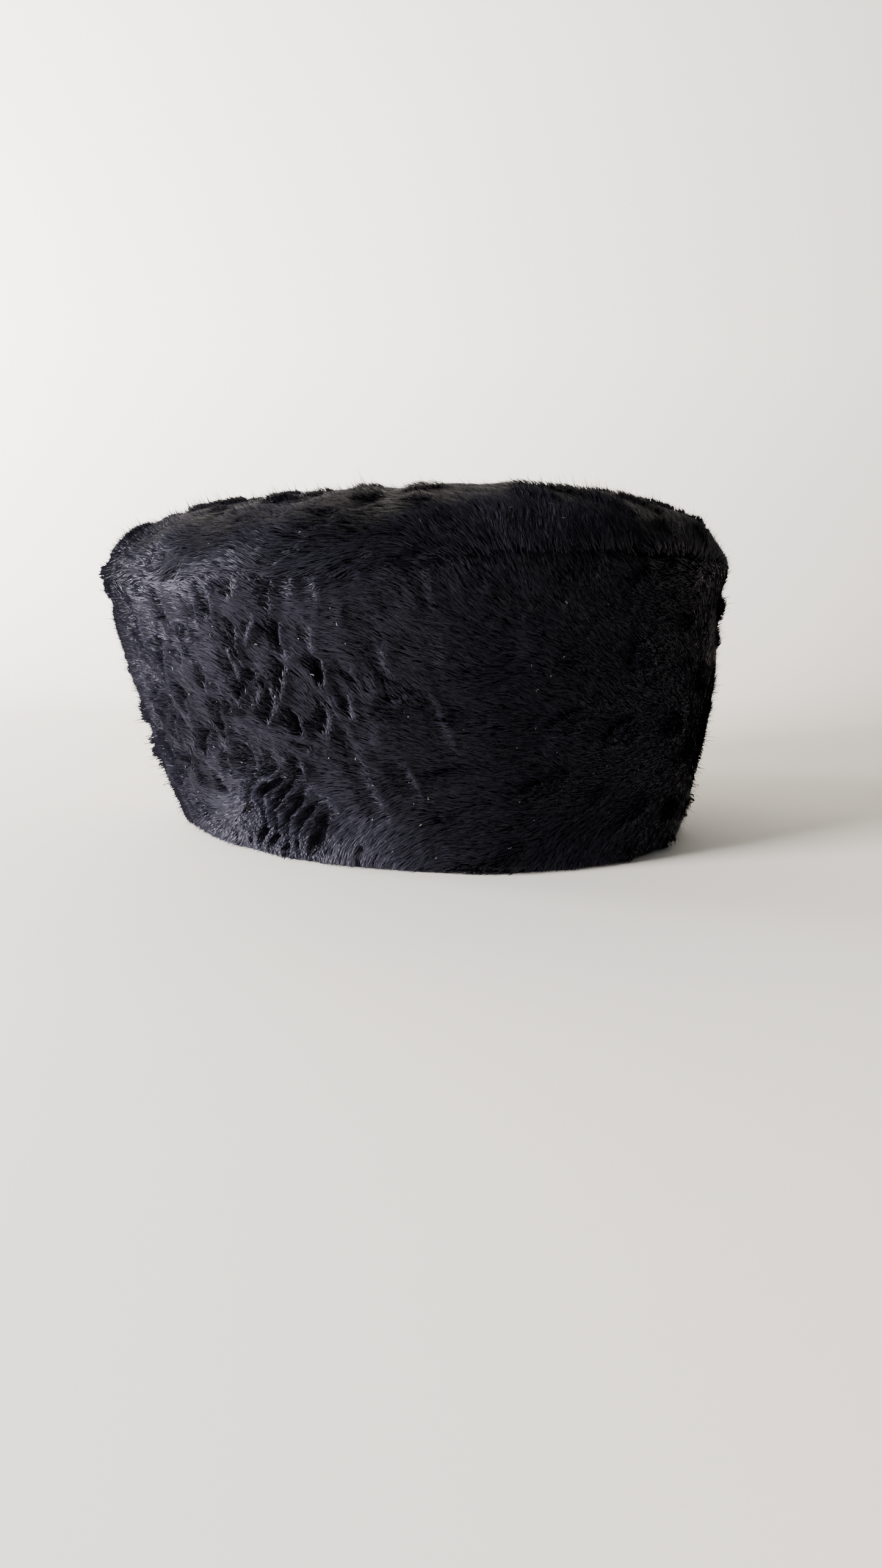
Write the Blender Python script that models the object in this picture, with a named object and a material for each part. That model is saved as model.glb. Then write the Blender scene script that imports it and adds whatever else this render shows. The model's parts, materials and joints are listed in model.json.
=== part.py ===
"""A cossack hat: a tall flared side band closed by a padded crown tip, both of short-pile fur cloth.

The hat stands on its rim at z = 0, with its front towards -Y and the wearer's right towards -X. The
origin is under the middle of its widest oval. Both pieces are hollow underneath, so that a head goes in.
A place on the hat is given by its turn round the hat, 0 at the front and a quarter turn at the wearer's
right, and by its level: 0 at the rim, 1 at the seam under the crown tip and 2 at the crown's middle.
"""

import math

import bmesh
import bpy
from mathutils import Vector

# Driving dimensions, in metres, over the fur
RIM_LENGTH = 0.212  # front to back
RIM_WIDTH = 0.177
TOP_LENGTH = 0.243  # of the flared wall where it would reach the seam
TOP_WIDTH = 0.228
RIM_FORWARD = 0.0055  # the rim's middle lies this far in front of the seam's
BAND_HEIGHT_FRONT = 0.097
BAND_HEIGHT_SIDE = 0.091
BAND_HEIGHT_BACK = 0.095
CROWN_RISE = 0.026  # from the crown's widest oval to its middle
CROWN_STEP_IN = 0.0012  # the crown's widest oval is this much inside the flared wall
WALL = 0.0095  # cloth, padding and pile
WALL_SWELL = 0.0022  # how far the padded band swells between rim and seam
RIM_ROLL = 0.0035  # radius of both edges of the rim, rolled under
SEAM_DEPTH = 0.0042  # the groove along the seam
BAND_SHOULDER = 0.0105  # height over which the band turns in to the groove
CROWN_EDGE = 0.0052  # height over which the crown's puffed edge comes out of it
SEAM_GAP = 0.0003
CROWN_POWER = 2.35  # 2 is an ellipse, and more is a squarer shoulder

# Steps of the mesh
SEGMENTS = 84
RIM_STEPS = 3
SHOULDER_STEPS = 4
WALL_STEPS = 11
HOLLOW_STEPS = 6
DOME_STEPS = 11
DOME_HOLLOW_STEPS = 7

# Soft swells and dents. Turns are in degrees, and push is out of the hat in metres.
SOFT_SPOTS = (
    # name, turn, level, turn_reach, level_reach, push
    ("left_front_sag", -34, 1.00, 20, 0.16, -0.0020),
    ("front_swell", 8, 0.62, 34, 0.30, 0.0012),
    ("right_temple_hollow", 52, 0.40, 22, 0.26, -0.0012),
    ("right_side_swell", 92, 0.70, 30, 0.30, 0.0014),
    ("right_back_shoulder", 138, 1.06, 26, 0.26, 0.0014),
    ("back_flat", 176, 0.42, 30, 0.40, -0.0014),
    ("left_back_swell", -140, 0.72, 30, 0.34, 0.0012),
    ("left_side_hollow", -88, 0.50, 24, 0.30, -0.0011),
    ("crown_front_puff", 15, 1.38, 48, 0.26, 0.0016),
    ("crown_back_hollow", 160, 1.50, 44, 0.26, -0.0020),
    ("crown_left_dip", -100, 1.34, 34, 0.22, -0.0012),
)
STIFF_RIM = 0.2  # level under which the soft spots fade out towards the rim

PILE_COLOUR = (0.011, 0.011, 0.017, 1.0)
PILE_ROUGHNESS = 0.8
SHARP_EDGE = math.radians(50)


def blend(low, high, share):
    return low + (high - low) * share


def turns():
    """The turns of a ring's points, in radians."""
    return [2 * math.pi * i / SEGMENTS for i in range(SEGMENTS)]


def arc(start, stop, steps):
    """Angles in radians from start to stop degrees, both included."""
    return [math.radians(blend(start, stop, i / steps)) for i in range(steps + 1)]


def band_height(turn):
    """Height of the seam above the rim, which dips a little over the ears."""
    end = BAND_HEIGHT_FRONT if math.cos(turn) > 0 else BAND_HEIGHT_BACK
    return blend(BAND_HEIGHT_SIDE, end, math.cos(turn) ** 2)


def soft_push(turn, level):
    """How far the soft spots move the outer side out, in metres."""
    total = 0.0
    for _, spot_turn, spot_level, turn_reach, level_reach, push in SOFT_SPOTS:
        apart = (math.degrees(turn) - spot_turn + 180) % 360 - 180
        total += push * math.exp(-((apart / turn_reach) ** 2) - ((level - spot_level) / level_reach) ** 2)
    return total * min(1.0, level / STIFF_RIM)


def oval_point(turn, half_length, half_width, forward, height):
    return Vector((-half_width * math.sin(turn), -forward - half_length * math.cos(turn), height))


def band_point(turn, level, lift, inset):
    """A point of the band, lift above its level and inset from the flared wall."""
    height = level * band_height(turn) + lift
    share = height / band_height(turn)
    swell = WALL_SWELL * math.sin(math.pi * share) - inset
    half_length = blend(RIM_LENGTH, TOP_LENGTH, share) / 2 + swell
    half_width = blend(RIM_WIDTH, TOP_WIDTH, share) / 2 + swell
    return oval_point(turn, half_length, half_width, RIM_FORWARD * (1 - share), height)


def band_section():
    """Rows of (level, lift, inset): up the outer side from the flat under the rim, and down the hollow."""
    rows = []
    for angle in arc(-90, 0, RIM_STEPS):
        rows.append((0, RIM_ROLL * (1 + math.sin(angle)), RIM_ROLL * (1 - math.cos(angle))))
    for i in range(1, WALL_STEPS):
        share = i / WALL_STEPS
        rows.append((share, blend(RIM_ROLL, -BAND_SHOULDER, share), 0))
    for angle in arc(0, 90, SHOULDER_STEPS):
        rows.append((1, BAND_SHOULDER * (math.sin(angle) - 1), SEAM_DEPTH * (1 - math.cos(angle))))
    for i in range(HOLLOW_STEPS):
        share = 1 - i / HOLLOW_STEPS
        rows.append((share, RIM_ROLL * (1 - share), WALL))
    for angle in arc(180, 270, RIM_STEPS):
        rows.append((0, RIM_ROLL * (1 + math.sin(angle)), WALL - RIM_ROLL * (1 + math.cos(angle))))
    return rows


def crown_point(turn, around, inset, lift, rise):
    """A point of a dome over the seam: around is 0 at its edge and a quarter turn at its middle."""
    reach = math.cos(around) ** (2 / CROWN_POWER)
    middle_height = (BAND_HEIGHT_FRONT + BAND_HEIGHT_BACK + 2 * BAND_HEIGHT_SIDE) / 4
    seam = blend(middle_height, band_height(turn), reach**2) + SEAM_GAP
    height = seam + lift + rise * math.sin(around) ** (2 / CROWN_POWER)
    return oval_point(turn, (TOP_LENGTH / 2 - inset) * reach, (TOP_WIDTH / 2 - inset) * reach, 0, height)


def add_ring(bm, points):
    """Vertices on a closed loop, in order."""
    return [bm.verts.new(point) for point in points]


def skin(bm, rings):
    """Walls of quads between each ring and the next."""
    for lower, upper in zip(rings, rings[1:]):
        for corners in zip(lower, lower[1:] + lower[:1], upper[1:] + upper[:1], upper):
            bm.faces.new(corners)


def close_at(bm, ring, point):
    """A fan from a ring to one point."""
    tip = bm.verts.new(point)
    for a, b in zip(ring, ring[1:] + ring[:1]):
        bm.faces.new((a, b, tip))


def side_band_mesh():
    bm = bmesh.new()
    rings = []
    for level, lift, inset in band_section():
        outer_share = max(0.0, 1 - inset / SEAM_DEPTH)
        points = []
        for turn in turns():
            push = soft_push(turn, level) * outer_share
            points.append(band_point(turn, level, lift, inset - push))
        rings.append(add_ring(bm, points))
    skin(bm, rings + rings[:1])
    return bm


def crown_edge_rings(bm):
    """From the seam's groove out to the crown's widest oval."""
    rings = []
    for angle in arc(-90, 0, SHOULDER_STEPS):
        lift = CROWN_EDGE * (1 + math.sin(angle))
        inset = blend(SEAM_DEPTH, CROWN_STEP_IN, math.cos(angle))
        rings.append(
            add_ring(bm, [crown_point(t, 0, inset - soft_push(t, 1) * math.cos(angle), lift, 0) for t in turns()])
        )
    return rings


def crown_dome_rings(bm):
    """The outer side from above the widest oval to the last ring round the middle."""
    rings = []
    for i in range(1, DOME_STEPS):
        around = math.radians(90) * i / DOME_STEPS
        reach = math.cos(around) ** (2 / CROWN_POWER)
        points = []
        for turn in turns():
            push = soft_push(turn, 2 - reach)
            point = crown_point(turn, around, CROWN_STEP_IN - push * reach**2, CROWN_EDGE, CROWN_RISE)
            point.z += push * min(1.0, 3 * (1 - reach), 3 * reach)
            points.append(point)
        rings.append(add_ring(bm, points))
    return rings


def crown_hollow_rings(bm, rise):
    """The under side, from the seam's inner edge to the last ring round the middle."""
    rings = []
    for i in range(DOME_HOLLOW_STEPS):
        around = math.radians(90) * i / DOME_HOLLOW_STEPS
        rings.append(add_ring(bm, [crown_point(turn, around, WALL, 0, rise) for turn in turns()]))
    return rings


def crown_tip_mesh():
    bm = bmesh.new()
    middle = math.radians(90)
    hollow_rise = CROWN_EDGE + CROWN_RISE - WALL
    outer = crown_edge_rings(bm) + crown_dome_rings(bm)
    hollow = crown_hollow_rings(bm, hollow_rise)
    skin(bm, outer)
    close_at(bm, outer[-1], crown_point(0, middle, 0, CROWN_EDGE, CROWN_RISE))
    skin(bm, [outer[0]] + hollow)
    close_at(bm, hollow[-1], crown_point(0, middle, 0, 0, hollow_rise))
    return bm


def fur_cloth(name):
    material = bpy.data.materials.new(name)
    material.use_nodes = True
    shader = material.node_tree.nodes["Principled BSDF"]
    shader.inputs["Base Color"].default_value = PILE_COLOUR
    shader.inputs["Roughness"].default_value = PILE_ROUGHNESS
    shader.inputs["Metallic"].default_value = 0.0
    material.diffuse_color = PILE_COLOUR
    return material


def add_piece(name, bm, material):
    bmesh.ops.recalc_face_normals(bm, faces=bm.faces)
    mesh = bpy.data.meshes.new(name)
    bm.to_mesh(mesh)
    bm.free()
    mesh.shade_smooth()
    mesh.set_sharp_from_angle(angle=SHARP_EDGE)
    mesh.materials.append(material)
    piece = bpy.data.objects.new(name, mesh)
    bpy.context.scene.collection.objects.link(piece)


def build_hat():
    for old in list(bpy.data.objects):
        bpy.data.objects.remove(old, do_unlink=True)
    add_piece("side_band", side_band_mesh(), fur_cloth("side_band_fur_cloth"))
    add_piece("crown_tip", crown_tip_mesh(), fur_cloth("crown_tip_fur_cloth"))


build_hat()
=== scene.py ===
"""Fur cloth, pile, lint and a studio for a cossack hat.

The hat's two solids are the frame. This script dresses them: each gets a padded cloth with a knitted back,
the outer side of both cloths is covered with short pile made as strands, and a plain studio is set round
the hat. It is laid out as an add-on and is run as a script.

Sizes are in metres, +Z up, with the hat's front towards -Y and the wearer's right towards -X. Turn is the
angle round the hat, 0 at the front and growing towards the wearer's right, and height is over the floor.
"""

import json
import math

import bmesh
import bpy
import numpy as np
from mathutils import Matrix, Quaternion, Vector
from mathutils.bvhtree import BVHTree

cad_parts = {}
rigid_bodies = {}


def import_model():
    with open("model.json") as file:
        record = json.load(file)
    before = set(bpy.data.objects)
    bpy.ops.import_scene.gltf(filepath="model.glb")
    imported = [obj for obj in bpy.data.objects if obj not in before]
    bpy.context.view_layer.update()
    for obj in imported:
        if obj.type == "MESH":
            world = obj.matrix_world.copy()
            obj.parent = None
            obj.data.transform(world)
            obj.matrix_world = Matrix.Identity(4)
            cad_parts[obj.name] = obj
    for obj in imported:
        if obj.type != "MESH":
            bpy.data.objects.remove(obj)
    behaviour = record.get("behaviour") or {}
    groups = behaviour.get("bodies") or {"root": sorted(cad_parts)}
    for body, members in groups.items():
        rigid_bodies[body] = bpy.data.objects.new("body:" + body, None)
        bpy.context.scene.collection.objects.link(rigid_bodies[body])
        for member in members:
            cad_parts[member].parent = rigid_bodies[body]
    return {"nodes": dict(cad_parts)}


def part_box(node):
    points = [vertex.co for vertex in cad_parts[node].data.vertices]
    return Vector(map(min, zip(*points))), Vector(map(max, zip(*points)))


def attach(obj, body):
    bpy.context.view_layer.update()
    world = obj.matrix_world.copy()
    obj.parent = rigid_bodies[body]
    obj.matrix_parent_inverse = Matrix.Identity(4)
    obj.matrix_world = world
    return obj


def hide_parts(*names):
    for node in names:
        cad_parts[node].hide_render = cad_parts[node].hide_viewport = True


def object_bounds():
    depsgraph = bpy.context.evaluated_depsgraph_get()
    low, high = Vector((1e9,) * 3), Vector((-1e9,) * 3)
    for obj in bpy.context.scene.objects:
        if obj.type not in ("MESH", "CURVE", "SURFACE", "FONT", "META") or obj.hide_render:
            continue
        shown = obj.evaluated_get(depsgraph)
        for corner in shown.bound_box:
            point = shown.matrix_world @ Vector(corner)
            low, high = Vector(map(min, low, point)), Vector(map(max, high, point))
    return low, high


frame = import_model()
CAD_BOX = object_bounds()

bl_info = {
    "name": "Cossack hat",
    "version": (1, 0, 0),
    "blender": (4, 5, 0),
    "location": "View3D > Sidebar > Hat",
    "description": "Fur cloth with a strand pile for a cossack hat, and a studio to show it in",
    "category": "Add Mesh",
}

BODY = "root"
BAND = "side_band"
CROWN = "crown_tip"
CLOTH_NAMES = {BAND: "side_band_cloth", CROWN: "crown_tip_cloth"}

SEAM_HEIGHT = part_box(BAND)[1].z
HALF_LENGTH = (CAD_BOX[1].y - CAD_BOX[0].y) / 2
HALF_WIDTH = (CAD_BOX[1].x - CAD_BOX[0].x) / 2
HAT_MIDDLE = (CAD_BOX[0] + CAD_BOX[1]) / 2

# The cloth
MERGE_DISTANCE = 1e-5
JOIN_ANGLE = math.radians(40)  # between two triangles that are joined to one quad
HOLLOW_PLACE = 0.65  # height of a place in the hollow, as a share of that of the hat's middle
OUTER_FACING = (-0.1, 0.5)  # how far the hollow side faces away from that place, and the outer side
ROOT_START = 0.0003  # distance from the other piece at which the cloth begins to sink under the pile
BARE_SEAM = (0.0004, 0.0012)  # distances from the other piece between which the strands begin to grow
SWELL_LIMIT = 1.5  # of the swells, in deviations of their field
BACK_PAINTED_SHADE_AND_LIGHT = (0.45, 1.3)  # painted shade between the knitted back's ribs and painted light on them, as shares of its colour
GROUND_GROWTH = 0.05  # growth over which a face is the outer side of the cloth
LEAST_GROWTH = 0.04  # growth under which no strand is rooted

# The strands. A layer is how high a strand's tip reaches, as a share of the pile's depth.
SEAM_PILE = 0.0040  # the pile's depth over the groove of the seam, which it fills
SEAM_BRIDGE = 2.5  # how strongly the pile over the groove is turned to face away from the hat
SEAM_TILT = 0.35  # how far up it faces there
PRESSED = 0.0004  # the lowest that a strand or a fleck reaches over the floor
PILE_LAYERS = (1.03, 0.87)  # most strands are near the first
GUARD_LAYERS = (1.22, 1.62)  # as PILE_LAYERS, for the guard strands, which stand out above the rest
GUARD_SHARE = 0.06  # of all strands
GUARD_LENGTH = 1.2  # of the other strands'
GUARD_WIDTH = 0.6  # of the other strands'
LENGTH_SPREAD = (0.8, 1.15)  # of a strand about the usual length
WIDTH_SPREAD = (0.7, 1.3)  # of a strand about the usual width
TONE_SPREAD = (0.80, 1.10)  # of a strand about the usual tone
BENT = 0.9  # what a strand's bend leaves of the square of its length, from end to end
LEAST_REACH = 0.45  # of a strand along the cloth, as a share of its length
STRAND_BEND = 4.0  # 1 is a straight strand, and more turns over nearer its root and lies flatter at its tip
GUARD_BEND = 1.8
WHORL_BEND = 3.0  # added to it in a whorl
WHORL_CUT = 0.62  # of a strand's reach that it loses in a whorl
LEAN_SPREAD = 0.09  # deviation of a strand's lean from the nap
STRAND_TWIST = math.radians(12)  # deviation of a strand's twist
SWIRL = math.radians(17)  # how far the nap swirls and sways about its usual climb
SWAY = math.radians(8)
CROWN_DIP = 0.35  # how far the crown's nap dips from its middle to the front and the back
TUFT_RISE = 0.45  # of the tufts that stand up here and there, as a share of the pile's depth
TUFT_EDGE = (0.9, 1.8)  # values of their field at which a tuft begins and is full
PULLS = (("tuft", 0.00034), ("wisp", 0.00014))  # fields that draw the tips together, and how far

# The furrows. Their depth is 1 at the bottom of the table's deepest.
CREST_WIDTH = 0.0034  # of the crest that the pile stands up in before it falls into a furrow
CREST_RISE = 0.36  # of that crest, as a share of the pile's depth
SUNK_LAYER = 0.6  # share of its layer that a strand rooted at the bottom of a furrow loses
SUNK_LENGTH = 0.5  # share of its length that it loses
CUT_BACK = (1.0, 0.55)  # shares of a strand's reach at which it is cut back where they lie in a furrow
CUT = (0.0, 0.62)  # least and greatest share of its reach that it loses each time
DEEP = (0.30, 0.80)  # least and greatest depth at which a strand's upper or lower half is of the deep finish, whose dark colour is painted shade in the furrows
LINE_REACH = (0.0004, 0.0024)  # distances from the middle of a furrow at which its side begins and ends
FINE_REACH = (0.0003, 0.0017)  # as LINE_REACH, for the fine furrows on the wearer's right
FINE_DEPTH = 0.62
FINE_BREAKS = (-0.2, 0.6)  # values of the field of their breaks between which they begin
LEAST_SLOPE = 0.3  # the least slope of a field that a furrow's width is worked out from
FIELD_FURROWS = {
    # node: (field of lines, field of breaks, values between which the lines begin, field of pits, depth)
    BAND: ("band_lines", "band_breaks", (0.0, 0.9), "band_pits", 0.62),
    CROWN: ("crown_lines", "crown_breaks", (0.5, 0.9), "crown_pits", 0.40),
}
PIT_EDGE = (1.5, 1.9)  # values of its field at which a pit begins and is full
PIT_DEPTH = 0.45  # next to the lines
CALM_FRONT = (20, 62)  # turns between which the furrows grow from shallow, at the front, to full
FRONT_DEPTH = 0.18  # of the furrows at the front, next to full ones
RIM_CALM = (0.003, 0.010)  # heights between which the furrows grow from nothing, at the rim, to full

# The tone of the pile, with painted shade in it
TOP_PAINTED_SHADE = (0.070, 0.105, 0.50)  # painted shade that darkens the pile towards the crown's top: heights between which its tone falls, and what it falls to
PILE_FINISHES = (
    # name, specular level, least and greatest roughness, shade of the tips' colour; the deep finish's low
    # shade is painted shade at the bottoms of the furrows
    ("black_pile", 0.16, 0.40, 0.54, 1.00),
    ("matt_pile", 0.00, 0.70, 0.90, 1.00),
    ("deep_pile_painted_shade", 0.02, 0.70, 0.90, 0.20),
)
BLACK, MATT, SHADED_DEEP_FINISH = range(len(PILE_FINISHES))

# The seeds of the strands and the flecks, and the pieces that the strands are parted into by turn
PILE_PIECES = {
    BAND: (101, ("band_pile_front", "band_pile_right", "band_pile_left")),
    CROWN: (202, ("crown_pile_front", "crown_pile_back")),
}
LINT_SEED = 303
LINT_SHARES = ((BAND, 0.7), (CROWN, 0.3))
FLECK_STATIONS = 5
FLECK_WIDTH = 0.00016
FLECK_LENGTHS = (0.4, 2.2)  # of a fleck about the usual length
FLECK_WIDTHS = (0.7, 1.4)  # of a fleck about the usual width
FLECK_CURL = 1.5  # the greatest turn of a fleck along its length, in radians
FLECK_LIFT = 0.0003  # over the tips of the pile

# The studio
IMAGE_SIZE = (1445, 2568)
HAT_PIXEL = (680, 1080)  # where the middle of the hat shows
SENSOR = 36.0
FLOOR_DEPTH = 2.4
WALL_DISTANCE = 0.75  # from the hat to the wall behind it
WALL_HEIGHT = 2.2
STAGE_WIDTH = 5.0
SWEEP_RADIUS = 0.35
SWEEP_STEPS = 24
WINDOW_PLACE = (99, 3, 1.3)  # turn round the hat in degrees, rise in degrees, distance from its middle
WASH_PLACE = (146, 22, 1.1)
WASH_TARGET = (196, 35, 1.0)
LIGHT_SIZE = (0.5, 0.8)
WINDOW_COLOUR = (1.0, 0.99, 0.98)
WASH_COLOUR = (1.0, 0.99, 0.97)
ROOM_COLOUR = (0.92, 0.98, 1.06, 1.0)

# The pile's waves. A wavelength is the usual distance between two swells of a field, and stretch makes it
# longer along X, Y and Z. Each field is a sum of waves in random directions, the same in every run.
WAVES_IN_FIELD = 22
WAVE_SPREAD = (0.7, 1.4)  # of a wave about its field's wavelength
FIELDS = {
    # name: (seed, wavelength, stretch)
    "band_lines": (11, 0.022, (1, 1, 2.4)),
    "band_breaks": (12, 0.019, (1, 1, 1.2)),
    "band_pits": (13, 0.0080, (1, 1, 2.2)),
    "fine_lines": (41, 0.0125, (1, 1, 2)),
    "fine_breaks": (42, 0.0090, (1, 1, 1.3)),
    "crown_lines": (21, 0.026, (1.8, 1, 1)),
    "crown_breaks": (22, 0.015, (1.2, 1, 1)),
    "crown_pits": (23, 0.0090, (1.7, 1, 1)),
    "tufts": (37, 0.017, (1, 1, 1)),
    "swirl": (31, 0.062, (1, 1, 1)),
    "sway": (32, 0.015, (1, 1, 1)),
    "warp": (33, 0.016, (1, 1, 1)),
    "swell": (34, 0.020, (1, 1, 1)),
    "tuft": (35, 0.0034, (1, 1, 1)),
    "wisp": (36, 0.0016, (1, 1, 1)),
}

# Whorls, where the pile stands in half rings behind a middle: fine waves a few millimetres apart.
RING_WARP = 0.0012  # how far the rings stray
RING_SIDE = (-0.35, 0.35)  # values of a ring's wave at which its side begins and ends
WHORL_BEHIND = (0.5, 0.85)  # cosines from straight behind its middle at which its rings begin and are full
WHORL_START = 0.004  # distance over which they begin outwards
WHORL_END = 0.7  # share of its outer reach at which they begin to fade out
WHORLS = {
    # name: (turn in degrees, height, inner reach, outer reach, wavelength, depth)
    "right_temple": (51, 0.006, 0.010, 0.050, 0.0052, 1.0),
    "right_back_low": (118, 0.022, 0.004, 0.030, 0.0056, 0.8),
    "right_back_high": (141, 0.070, 0.006, 0.022, 0.0054, 0.5),
    "left_back_low": (205, 0.030, 0.006, 0.032, 0.0054, 0.8),
    "left_side": (268, 0.052, 0.006, 0.028, 0.0056, 0.7),
    "left_front_low": (322, 0.020, 0.006, 0.028, 0.0054, 0.8),
}

# Furrows on the wearer's right, where the light picks them out. All others come from the fields.
RIGHT_SIDE = (44, 54, 98, 108)  # turns between which these and the fine furrows begin, and end
RIGHT_CALM = 0.4  # share of the other furrows' depth that is lost there
FURROW_SIDE = (0.45, 1.6)  # distances from its middle at which its side begins and ends, in half widths
FURROW_WARP = 0.125  # how far its width strays
FURROWS = (
    # turn in degrees, height, length, width, slant back in degrees, depth
    (56, 0.065, 0.008, 0.0030, 12, 1.0),
    (56, 0.050, 0.009, 0.0026, -15, 0.8),
    (61, 0.049, 0.007, 0.0024, 13, 1.0),
    (62, 0.034, 0.008, 0.0022, -6, 1.0),
    (63, 0.063, 0.010, 0.0028, -18, 1.0),
    (63, 0.077, 0.009, 0.0030, 0, 0.9),
    (64, 0.090, 0.014, 0.0030, -7, 0.9),
    (66, 0.031, 0.010, 0.0040, 16, 0.5),
    (66, 0.053, 0.009, 0.0024, -35, 1.0),
    (70, 0.061, 0.010, 0.0024, -45, 1.0),
    (71, 0.074, 0.012, 0.0027, 10, 1.0),
    (73, 0.036, 0.012, 0.0030, 10, 0.7),
    (74, 0.053, 0.005, 0.0025, -10, 1.0),
    (76, 0.086, 0.009, 0.0024, 5, 0.8),
    (78, 0.049, 0.013, 0.0036, -3, 1.0),
    (79, 0.034, 0.009, 0.0022, -22, 1.0),
    (80, 0.062, 0.008, 0.0023, -14, 0.9),
    (83, 0.073, 0.011, 0.0038, 9, 0.9),
    (84, 0.025, 0.006, 0.0022, -10, 1.0),
    (85, 0.041, 0.010, 0.0036, -30, 1.0),
    (87, 0.054, 0.009, 0.0024, -8, 0.9),
    (88, 0.084, 0.010, 0.0026, -4, 0.8),
    (90, 0.030, 0.009, 0.0032, -5, 1.0),
    (91, 0.066, 0.016, 0.0036, 0, 1.0),
    (94, 0.044, 0.010, 0.0026, -16, 0.9),
    (98, 0.052, 0.014, 0.0030, -12, 1.0),
    (99, 0.074, 0.012, 0.0030, -6, 0.9),
    (102, 0.036, 0.011, 0.0028, -10, 0.9),
)

# Where the pile is dull and shaded: roughed up, so that few strands shine, and darker as painted shade.
DULL_AND_SHADED_PLACES = (
    # turn in degrees, reach in degrees, share of dull strands, which are darker as painted shade
    (22, 40, 0.35),
    (117, 23, 1.00),
    (222, 28, 0.50),
    (300, 34, 0.55),
)
DULL_PAINTED_SHADE = 0.32  # painted shade: what the pile's tone falls to where every strand is dull
DULL_AND_SHADED_RISE = (0.098, 0.114)  # heights between which the dull places and their painted shade fade out on the crown

# How steeply the nap climbs as it runs round the band, from the rim to the seam.
NAP_CLIMB = (
    # share of the seam's height, degrees
    (-0.02, -62),
    (0.06, -52),
    (0.16, -24),
    (0.32, 12),
    (0.60, 28),
    (0.85, 24),
    (1.00, 26),
)

# A strand is a narrow kite, bent over at its widest place: a steep lower triangle and a flat upper one.
STRAND_STATIONS = np.array((0.0, 0.4, 1.0))  # shares of its reach at its root, its bend and its tip
STRAND_CORNERS = np.array((0, 1, 1, 2))  # the station of each of its four corners
STRAND_SIDES = np.array((0.0, 0.5, -0.5, 0.0))  # how far across each corner lies, in widths
STRAND_TRIANGLES = np.array(((0, 2, 1), (1, 2, 3)))
CELL_MARGIN = 0.1  # round a strand in its cell of the UV map, in cells


def colour_setting(name, description, default):
    return bpy.props.FloatVectorProperty(
        name=name, description=description, default=default, min=0.0, max=1.0, subtype="COLOR"
    )


def length_setting(name, description, default, low, high):
    return bpy.props.FloatProperty(
        name=name, description=description, default=default, min=low, max=high, unit="LENGTH"
    )


class HatClothSettings(bpy.types.PropertyGroup):
    pile_depth: length_setting("Pile depth", "From the cloth to the tips of the pile", 0.0046, 0.002, 0.007)
    seam_width: length_setting(
        "Seam width", "Distance from the seam at which the pile has its full depth", 0.0095, 0.002, 0.02
    )
    swell: length_setting("Swell", "Height of the soft swells of the padding", 0.0005, 0.0, 0.002)
    ground_colour: colour_setting(
        "Ground colour", "The cloth between the roots of the pile", (0.004, 0.004, 0.006)
    )
    back_colour: colour_setting(
        "Back colour", "The knitted back of the cloth, inside the hat", (0.020, 0.019, 0.023)
    )


class HatPileSettings(bpy.types.PropertyGroup):
    strand_length: length_setting(
        "Strand length", "Usual length of a strand of the pile", 0.0070, 0.003, 0.015
    )
    strand_width: length_setting(
        "Strand width", "Greatest width of a strand, which stands for a few fibres", 0.00036, 0.00005, 0.001
    )
    band_strands: bpy.props.IntProperty(
        name="Band strands",
        description="Number of strands on the side band",
        default=264000,
        min=1000,
        max=290000,
    )
    crown_strands: bpy.props.IntProperty(
        name="Crown strands",
        description="Number of strands on the crown tip",
        default=190000,
        min=1000,
        max=195000,
    )
    furrow_depth: bpy.props.FloatProperty(
        name="Furrow depth",
        description="Share of the pile's depth that the furrows go down",
        default=0.74,
        min=0.0,
        max=0.9,
        subtype="FACTOR",
    )
    # the root colour is the tip colour darkened as painted shade deep in the pile
    shaded_root_colour: colour_setting("Root colour", "A strand near its root", (0.0020, 0.0020, 0.0030))
    tip_colour: colour_setting("Tip colour", "A strand near its tip", (0.0198, 0.0190, 0.0278))


class HatLintSettings(bpy.types.PropertyGroup):
    flecks: bpy.props.IntProperty(
        name="Flecks",
        description="Number of pale flecks of lint caught in the pile",
        default=480,
        min=0,
        max=1000,
    )
    fleck_length: length_setting("Fleck length", "Usual length of a fleck", 0.0005, 0.0002, 0.01)
    colour: colour_setting("Lint colour", "The lint", (0.13, 0.125, 0.13))


class HatStageSettings(bpy.types.PropertyGroup):
    camera_turn: bpy.props.FloatProperty(
        name="Camera turn",
        description="How far the camera stands round towards the wearer's right from the front",
        default=math.radians(41),
        subtype="ANGLE",
    )
    camera_rise: bpy.props.FloatProperty(
        name="Camera rise",
        description="How far the camera looks down on the middle of the hat",
        default=math.radians(3),
        subtype="ANGLE",
    )
    camera_distance: length_setting(
        "Camera distance", "From the camera to the middle of the hat", 0.44, 0.2, 5.0
    )
    lens: bpy.props.FloatProperty(
        name="Lens",
        description="Focal length in millimetres, for a long side of 36",
        default=25.3,
        min=8.0,
        max=200.0,
    )
    floor_colour: colour_setting(
        "Floor colour", "The pale floor and the wall that it runs up into", (0.86, 0.812, 0.738)
    )
    window_power: bpy.props.FloatProperty(
        name="Window power",
        description="The large soft light on the wearer's right",
        default=180.0,
        min=0.0,
        unit="POWER",
    )
    room_light: bpy.props.FloatProperty(
        name="Room light",
        description="Strength of the light from all round",
        default=0.19,
        min=0.0,
    )
    wash_power: bpy.props.FloatProperty(
        name="Wash power",
        description="The small light that brightens the wall on the window's side",
        default=24.0,
        min=0.0,
        unit="POWER",
    )


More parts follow.
